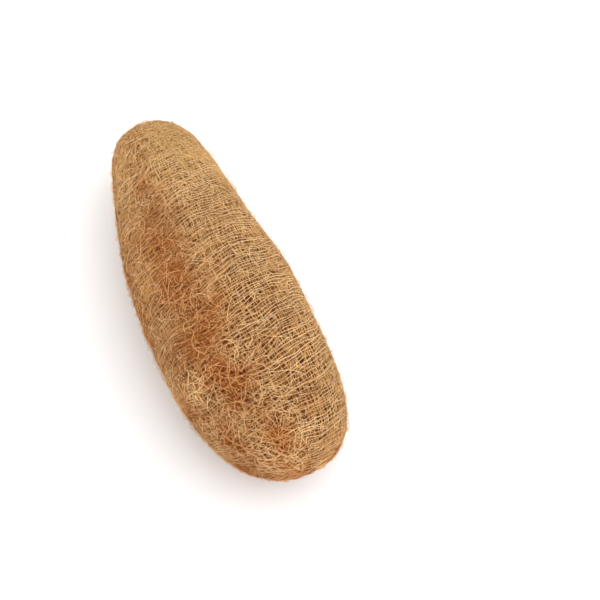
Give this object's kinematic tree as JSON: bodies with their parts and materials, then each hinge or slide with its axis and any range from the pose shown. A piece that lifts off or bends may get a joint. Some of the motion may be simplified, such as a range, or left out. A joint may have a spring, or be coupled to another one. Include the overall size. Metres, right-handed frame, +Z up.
{
  "type": "natural loofah sponge",
  "caption": "Dried fibre skeleton of a luffa gourd: a tapered, slightly bowed body with rounded ends and a raised fibre net, lying on a small flat spot.",
  "frame": {"origin": "centre of the bounding box in X and Y, at the level surface that the sponge lies on", "axes": "+X runs along the body from the narrow stem end to the wide blossom end, +Z is up, and the ends bow towards +Y"},
  "size_m": [0.1602, 0.0606, 0.0519],
  "materials": {
    "luffa_fibre": "dry matt plant fibre, tan"
  },
  "bodies": {
    "root": {"loofah_sponge": "luffa_fibre"}
  },
  "joints": []
}
